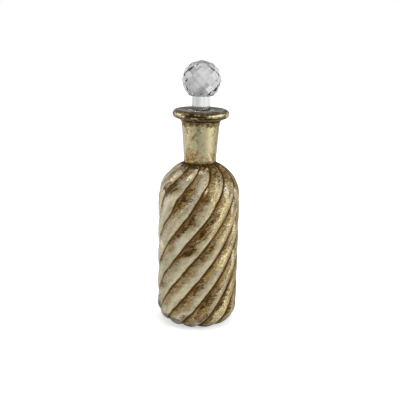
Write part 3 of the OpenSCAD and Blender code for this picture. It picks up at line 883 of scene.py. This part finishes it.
def lipFinish():
    m = startFinish("bronzedLip")
    where = placeInMm(m)
    x, y, z = apart(m, where)
    low, high = lipLow.z * inMm, lipHigh.z * inMm
    front = calc(m, "MULTIPLY", calc(m, "ARCTAN2", x, calc(m, "MULTIPLY", y, -1.0)), lipShape["armMm"])
    slow = grain(m, stretched(m, where, 0.55, 0.55, 1.6), 6, 2)
    fine = grain(m, where, 2.0, 3, 0.65)
    dust = grain(m, where, 1.0, 2, 0.6)
    flowing = grain(m, stretched(m, where, 0.5, 0.5, 2.0), 3.0, 3, 0.6)
    colour = mixColour(m, span(m, flowing, 0.42, 0.56), (0.022, 0.012, 0.003), (0.17, 0.112, 0.04))
    colour = mixColour(m, span(m, fine, 0.56, 0.66), colour, (0.36, 0.27, 0.11))
    # gold-toned painted highlights on the roll, with random gold patches of the lip's own above the bead
    gold = spots(m, front, z, calc(m, "MULTIPLY_ADD", flowing, 3.4, -1.7), lipShape["goldSheenPlaces"])
    gold = calc(m, "MULTIPLY", gold, span(m, calc(m, "ADD", dust, fine), 0.90, 1.10, 0.05, 1.0))
    chance = calc(m, "MULTIPLY", span(m, slow, 0.56, 0.66, 0.0, 0.8), span(m, z, low + 3, low + 6))
    gold = calc(m, "MAXIMUM", gold, chance)
    goldTone = mixColour(m, span(m, grain(m, where, 2.6, 3, 0.7), 0.44, 0.60), (0.44, 0.32, 0.11), (0.88, 0.78, 0.48))
    colour = mixColour(m, gold, colour, goldTone)
    # painted highlights on the roll
    hotHighlight = spots(m, front, z, calc(m, "MULTIPLY_ADD", dust, 3.0, -1.5), lipShape["hotHighlightPlaces"])
    colour = mixColour(m, calc(m, "MULTIPLY", hotHighlight, 0.9), colour, silver["fleck"])
    # painted shade and dark reflection on the roll: darker middle of the front, dark far sides and two thin dark
    # lines
    dark = spots(m, front, z, calc(m, "MULTIPLY_ADD", fine, 1.2, -0.6), lipShape["paintedShadePlaces"])
    colour = mixColour(m, calc(m, "MULTIPLY", dark, 0.97), colour, (0.018, 0.011, 0.004))
    top = span(m, z, high - 1.8, high - 0.5)
    out = calc(m, "SQRT", calc(m, "ADD", calc(m, "MULTIPLY", x, x), calc(m, "MULTIPLY", y, y)))
    ringed = grain(m, joined(m, calc(m, "MULTIPLY", front, 0.22), calc(m, "MULTIPLY", out, 1.3), 0.0), 2.4, 3, 0.6)
    topTone = mixColour(m, span(m, ringed, 0.40, 0.50), (0.014, 0.008, 0.005), (0.085, 0.058, 0.042))
    topTone = mixColour(m, span(m, ringed, 0.52, 0.66), topTone, (0.30, 0.24, 0.19))
    colour = mixColour(m, calc(m, "MULTIPLY", top, 0.92), colour, topTone)
    creaseAt = calc(m, "ABSOLUTE", calc(m, "SUBTRACT", z, low + 1.6))
    crease = span(m, calc(m, "ADD", creaseAt, calc(m, "MULTIPLY_ADD", fine, 1.6, -0.8)), 0.4, 1.3, 1.0, 0.0)
    colour = mixColour(m, calc(m, "MULTIPLY", crease, 0.9), colour, silver["crease"])
    beadPale = span(m, calc(m, "ABSOLUTE", calc(m, "SUBTRACT", z, low + 0.5)), 0.2, 0.5, 1.0, 0.0)
    beadPale = calc(m, "MULTIPLY", beadPale, span(m, slow, 0.42, 0.56))
    colour = mixColour(m, beadPale, colour, (0.34, 0.27, 0.15))
    rough = calc(m, "ADD", mixValue(m, gold, 0.30, 0.24), calc(m, "MULTIPLY_ADD", dust, 0.2, -0.1))
    metal = mixValue(m, gold, 0.45, 0.75)
    return surface(m, calc(m, "ADD", fine, dust), 0.05 * mm, Base_Color=colour, Roughness=rough,
                   Metallic=metal, Specular_IOR_Level=0.1, Coat_Weight=0.14, Coat_Roughness=0.07, Coat_IOR=1.45)


lip = lathe("rolledLip", lipOutline(), wobble=lipWaver)
place(lip, "bottle", "bronzed_glass_lip", lipFinish(), "lip_ring")
print("lip placed")


# Silver film inside the glass, seen through the mouth once the stopper is out
def filmFinish():
    m = startFinish("silverFilm")
    where = placeInMm(m)
    cloud = grain(m, where, 9, 3, 0.6)
    spots = grain(m, where, 2.2, 3, 0.65)
    colour = mixColour(m, span(m, cloud, 0.4, 0.62), (0.60, 0.54, 0.40), (0.36, 0.29, 0.17))
    colour = mixColour(m, span(m, spots, 0.58, 0.68), colour, silver["brown"])
    rough = span(m, spots, 0.3, 0.7, 0.22, 0.5)
    return surface(m, spots, 0.04 * mm, Base_Color=colour, Metallic=0.85, Roughness=rough)


film = frame["nodes"]["silver_lining"]
film.data.materials.clear()
film.data.materials.append(filmFinish())
print("silver film finished")

# Stopper: shank, flange and plug turned from one clear piece
plugShape = {
    "shank": 9.8 * mm,
    "flange": 15.2 * mm,
    "flangeThick": 2.8 * mm,
    "shankHigh": 15.2 * mm,
    "plug": 12 * mm,
    "groove": 10.6 * mm,
    "edge": 0.6 * mm,
    "bevel": 1.2 * mm,
    "ringGap": 0.08 * mm,
}


def ringBoxes():
    return [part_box(name) for name in ("seal_ring_top", "seal_ring_middle", "seal_ring_bottom")]


def plugOutline():
    top, bottom = plugHigh.z, plugLow.z
    flangeTop = top - plugShape["shankHigh"]
    seat = flangeTop - plugShape["flangeThick"]
    edge, plug, groove = plugShape["edge"], plugShape["plug"], plugShape["groove"]
    joint = 0.02 * mm        # hairline of air under the ball
    shank, flange = plugShape["shank"], plugShape["flange"]
    points = [(0, top - joint), (shank - 0.25 * mm, top - joint)]
    points += arc(shank - 0.25 * mm, top - joint - 0.25 * mm, 0.25 * mm, 75, 0, 3)
    points += stretch([(shank, top - 1 * mm), (shank, flangeTop + 2 * edge)], 1.2 * mm, 16)[:-1]
    points += arc(shank + 2 * edge, flangeTop + 2 * edge, 2 * edge, 180, 270, 8)
    points += arc(flange - edge, flangeTop - edge, edge, 90, 0, 6)
    points += [(flange, seat + 0.2 * mm), (flange - 0.2 * mm, seat), (plug, seat)]
    for low, high in ringBoxes():
        upper, lower = high.z + plugShape["ringGap"], low.z - plugShape["ringGap"]
        points += [(plug, upper), (groove, upper), (groove, lower), (plug, lower)]
    bevel = plugShape["bevel"]
    points += arc(plug - bevel, bottom + bevel, bevel, 0, -90, 8) + [(0, bottom)]
    return points


def hardEdges(piece, degrees):
    bm = bmesh.new()
    bm.from_mesh(piece.data)
    for edge in bm.edges:
        if len(edge.link_faces) == 2 and edge.calc_face_angle() > math.radians(degrees):
            edge.smooth = False
    bm.to_mesh(piece.data)
    bm.free()


def clearFinish():
    m = startFinish("clearGlass")
    where = placeInMm(m)
    lines = grain(m, stretched(m, where, 1, 1, 0.12), 4.0, 2)
    smear = grain(m, where, 7, 2)
    tint = mixColour(m, span(m, smear, 0.4, 0.6), (0.96, 0.975, 0.965), (0.985, 0.99, 0.985))
    rough = span(m, smear, 0.4, 0.7, 0.0, 0.035)
    return surface(m, lines, 0.02 * mm, Base_Color=tint, Roughness=rough, Transmission_Weight=1.0, IOR=1.49)


plug = lathe("stopperPlug", plugOutline())
hardEdges(plug, 40)
place(plug, "stopper", "clear_glass", clearFinish(), "stopper_plug")
print("stopper plug placed")

# Crystal ball: rows of flat kites whose corners all lie on the ball
ballShape = {
    "facets": 10,
    "rows": 4,                   # rows of corners above the middle
    "turn": -2.4,                # degrees, so that a corner stands a little right of the front
    "bevel": 0.25 * mm,
}


def rowLatitudes():
    half = math.pi / ballShape["facets"]
    rows = [0.0, half]
    while len(rows) <= ballShape["rows"]:
        low, side = rows[-2], rows[-1]
        p = Vector((math.cos(low), math.sin(low)))
        d = Vector((math.cos(side) * math.cos(half), math.sin(side))) - p
        q = p - d * 2 * p.dot(d) / d.dot(d)
        rows.append(math.atan2(q.y, q.x))
    return rows


def buildBall():
    n = ballShape["facets"]
    first = math.radians(ballShape["turn"])
    full = (ballHigh.x - ballLow.x) / 2 / math.cos(first)
    radius = full - swirl["inset"]
    centre = ballHigh.z - full
    latitudes = rowLatitudes()
    points = [Vector((0, 0, centre + radius))]
    for k in range(-ballShape["rows"], ballShape["rows"] + 1):
        latitude = math.copysign(latitudes[abs(k)], k)
        for j in range(n):
            turn = first + math.tau * (j + (abs(k) % 2) / 2) / n
            points.append(Vector((radius * math.cos(latitude) * math.cos(turn),
                                  radius * math.cos(latitude) * math.sin(turn),
                                  centre + radius * math.sin(latitude))))
    bm = bmesh.new()
    for p in points:
        bm.verts.new(p)
    bmesh.ops.convex_hull(bm, input=bm.verts)
    bmesh.ops.bisect_plane(bm, geom=bm.verts[:] + bm.edges[:] + bm.faces[:], plane_co=(0, 0, ballLow.z),
                           plane_no=(0, 0, -1), clear_outer=True)
    bmesh.ops.contextual_create(bm, geom=[e for e in bm.edges if e.is_boundary])
    bmesh.ops.dissolve_limit(bm, angle_limit=math.radians(1), verts=bm.verts, edges=bm.edges)
    bmesh.ops.bevel(bm, geom=bm.edges[:], offset=ballShape["bevel"], segments=1, affect="EDGES", profile=0.5)
    bmesh.ops.recalc_face_normals(bm, faces=bm.faces)
    mesh = bpy.data.meshes.new("crystalBall")
    bm.to_mesh(mesh)
    bm.free()
    print("crystal ball:", len(mesh.polygons), "faces")
    return link("crystalBall", mesh)


def crystalFinish():
    m = startFinish("cutCrystal")
    where = placeInMm(m)
    polish = grain(m, where, 3.5, 2)
    smear = grain(m, where, 9, 2)
    tint = mixColour(m, span(m, smear, 0.4, 0.6), (0.70, 0.705, 0.71), (0.84, 0.84, 0.84))
    rough = span(m, smear, 0.4, 0.7, 0.02, 0.08)
    return surface(m, polish, 0.015 * mm, Base_Color=tint, Roughness=rough, Transmission_Weight=1.0, IOR=1.52)


ball = buildBall()
place(ball, "stopper", "cut_crystal", crystalFinish(), "crystal_ball")
print("crystal ball placed")

# Sealing rings: soft translucent silicone with a rounded running edge
ringShape = {
    "inner": 10.68 * mm,
    "shoulder": 12 * mm,
    "tip": 1.0 * mm,
    "soft": 0.25 * mm,
}


def ringOutline(low, high):
    outer = high.x - 0.01 * mm
    middle = (low.z + high.z) / 2
    half = (high.z - low.z) / 2
    inner, shoulder, tip, soft = ringShape["inner"], ringShape["shoulder"], ringShape["tip"], ringShape["soft"]
    lower = [(inner, middle - half + soft), (inner + soft, middle - half), (shoulder - soft, middle - half),
             (shoulder + 0.1 * mm, middle - half + 0.12 * mm), (outer - 0.3 * mm, middle - tip * 0.72),
             (outer - 0.06 * mm, middle - tip * 0.45)]
    upper = [(r, 2 * middle - z) for r, z in reversed(lower)]
    return lower + [(outer, middle)] + upper


def siliconeFinish():
    m = startFinish("softSilicone")
    where = placeInMm(m)
    cloud = grain(m, where, 2.5, 2)
    dust = grain(m, where, 0.6, 2)
    colour = mixColour(m, cloud, (0.80, 0.82, 0.80), (0.90, 0.92, 0.90))
    rough = span(m, dust, 0.3, 0.7, 0.38, 0.52)
    return surface(m, dust, 0.02 * mm, Base_Color=colour, Roughness=rough, Transmission_Weight=0.35, IOR=1.41)


silicone = siliconeFinish()
for spot in ("Top", "Middle", "Bottom"):
    node = "seal_ring_" + spot.lower()
    ring = lathe("sealRing" + spot, ringOutline(*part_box(node)), 128)
    place(ring, "sealing_rings", "silicone", silicone, node)
print("sealing rings placed")

# Studio: mid grey behind the bottle for glass and metal, soft boxes at the sides, a dimmer camera side
studio = {
    "floorSize": 6.0,
    "fill": 0.54,
    "keyRight": 6.6,
    "fillLeft": 4.2,
    "topSoft": 4.8,
    "slit": 0.8,
    "backLeft": 0.76,
    "backRight": 0.56,
    "edgeLeft": 0.85,
    "edgeRight": 0.6,
    "boxLeft": 0.96,
    "boxRight": 1.1,
    "strip": 1.25,
    "ceilingLow": 0.4,
    "ceiling": 0.5,
    "roomMm": 260,               # size of the soft light and dark shapes near the bottle
    "cameraSide": 0.8,
}


def studioLevel(m, x, y):
    # brightness of the surroundings in the direction (x, y), 0 radians being straight behind
    turn = calc(m, "ARCTAN2", x, y)
    off = calc(m, "ABSOLUTE", turn)
    right = span(m, turn, -0.1, 0.1)
    back = mixValue(m, right, studio["backLeft"], studio["backRight"])
    waves = calc(m, "SINE", calc(m, "MULTIPLY_ADD", turn, 13.0, 0.8))
    back = calc(m, "MULTIPLY_ADD", waves, 0.05, back)
    edge = mixValue(m, right, studio["edgeLeft"], studio["edgeRight"])
    box = mixValue(m, right, studio["boxLeft"], studio["boxRight"])
    level = mixValue(m, span(m, calc(m, "ABSOLUTE", calc(m, "ADD", turn, 0.05)), 0.0, 0.10), studio["slit"], back)
    level = mixValue(m, span(m, off, 0.75, 1.0), level, edge)
    level = mixValue(m, span(m, off, 1.35, 1.5), level, box)
    level = mixValue(m, span(m, off, 2.0, 2.5), level, studio["cameraSide"])
    strip = span(m, calc(m, "ABSOLUTE", calc(m, "SUBTRACT", turn, 1.88)), 0.08, 0.16, 1.0, 0.0)
    return mixValue(m, strip, level, studio["strip"])


def notDiffuse(m):
    path = add(m, "ShaderNodeLightPath")
    glassOrMetal = calc(m, "MAXIMUM", path.outputs["Is Glossy Ray"], path.outputs["Is Transmission Ray"])
    return path.outputs["Is Camera Ray"], glassOrMetal


def floorFinish():
    m = startFinish("paleFloor")
    out = add(m, "ShaderNodeOutputMaterial")
    where = add(m, "ShaderNodeTexCoord").outputs["Object"]
    x, y, z = apart(m, where)
    away = calc(m, "SQRT", calc(m, "ADD", calc(m, "MULTIPLY", x, x), calc(m, "MULTIPLY", y, y)))
    far = span(m, away, 0.2, 0.7)
    camera, other = notDiffuse(m)
    matte = add(m, "ShaderNodeBsdfDiffuse")
    paper = grain(m, stretched(m, where, inMm, inMm, inMm), 40, 2)
    paper = mixColour(m, paper, (0.76, 0.76, 0.76), (0.80, 0.80, 0.80))
    room = grain(m, stretched(m, where, inMm, inMm, inMm), studio["roomMm"], 2)
    room = mixValue(m, span(m, away, 0.6, 0.9), span(m, room, 0.38, 0.62, 0.45, 1.35), 1.0)
    seen = mixValue(m, other, 1.0, calc(m, "MULTIPLY", studioLevel(m, x, y), room))
    shade = add(m, "ShaderNodeVectorMath", operation="SCALE")
    wire(m, shade.inputs[0], paper)
    wire(m, shade.inputs["Scale"], seen)
    wire(m, matte.inputs["Color"], shade.outputs[0])
    glow = add(m, "ShaderNodeEmission")
    wire(m, glow.inputs["Color"], (1.0, 1.0, 1.0))
    inGlass = calc(m, "MULTIPLY", calc(m, "MULTIPLY", other, seen), mixValue(m, far, 0.05, 0.6))
    onCamera = calc(m, "MULTIPLY", camera, mixValue(m, far, 0.50, 1.0))
    wire(m, glow.inputs["Strength"], calc(m, "MAXIMUM", inGlass, onCamera))
    both = add(m, "ShaderNodeAddShader")
    wire(m, both.inputs[0], matte.outputs[0])
    wire(m, both.inputs[1], glow.outputs[0])
    wire(m, out.inputs["Surface"], both.outputs[0])
    return m


half = studio["floorSize"] / 2
floorMesh = bpy.data.meshes.new("paleFloor")
floorMesh.from_pydata([(-half, -half, 0), (half, -half, 0), (half, half, 0), (-half, half, 0)], [], [(0, 1, 2, 3)])
floor = link("paleFloor", floorMesh)
floor.location.z = cadLow.z - 0.05 * mm
floor.data.materials.append(floorFinish())


def softBox(name, where, aim, size, power, mirrored):
    lamp = bpy.data.lights.new(name, "AREA")
    lamp.shape = "RECTANGLE"
    lamp.size, lamp.size_y = size
    lamp.energy = power
    ob = bpy.data.objects.new(name, lamp)
    ob.location = where
    ob.rotation_euler = (Vector(aim) - Vector(where)).to_track_quat("-Z", "Y").to_euler()
    ob.visible_glossy = mirrored
    scene.collection.objects.link(ob)


softBox("keyRight", (0.85, -0.55, 0.75), (0, 0, 0.14), (0.35, 0.8), studio["keyRight"], False)
softBox("fillLeft", (-0.9, -0.45, 0.45), (0, 0, 0.14), (0.5, 0.9), studio["fillLeft"], False)
softBox("topSoft", (0.0, 0.1, 1.3), (0, 0, 0.1), (0.9, 0.9), studio["topSoft"], False)


def surround():
    w = bpy.data.worlds.new("whiteSurround")
    scene.world = w
    w.use_nodes = True
    w.node_tree.nodes.clear()
    out = add(w, "ShaderNodeOutputWorld")
    back = add(w, "ShaderNodeBackground")
    camera, other = notDiffuse(w)
    x, y, z = apart(w, add(w, "ShaderNodeTexCoord").outputs["Generated"])
    direction = add(w, "ShaderNodeTexCoord").outputs["Generated"]
    room = span(w, grain(w, direction, 0.35, 2), 0.40, 0.60, 0.5, 1.3)
    around = calc(w, "MULTIPLY", studioLevel(w, x, y), mixValue(w, span(w, z, -0.05, 0.1), 1.0, room))
    inGlass = mixValue(w, span(w, z, 0.35, 0.45), around, studio["ceilingLow"])
    inGlass = mixValue(w, span(w, z, 0.6, 0.75), inGlass, studio["ceiling"])
    level = mixValue(w, other, studio["fill"], inGlass)
    wire(w, back.inputs["Strength"], mixValue(w, camera, level, 1.0))
    wire(w, back.inputs["Color"], (1.0, 1.0, 1.0))
    wire(w, out.inputs["Surface"], back.outputs[0])


surround()
print("studio lit")
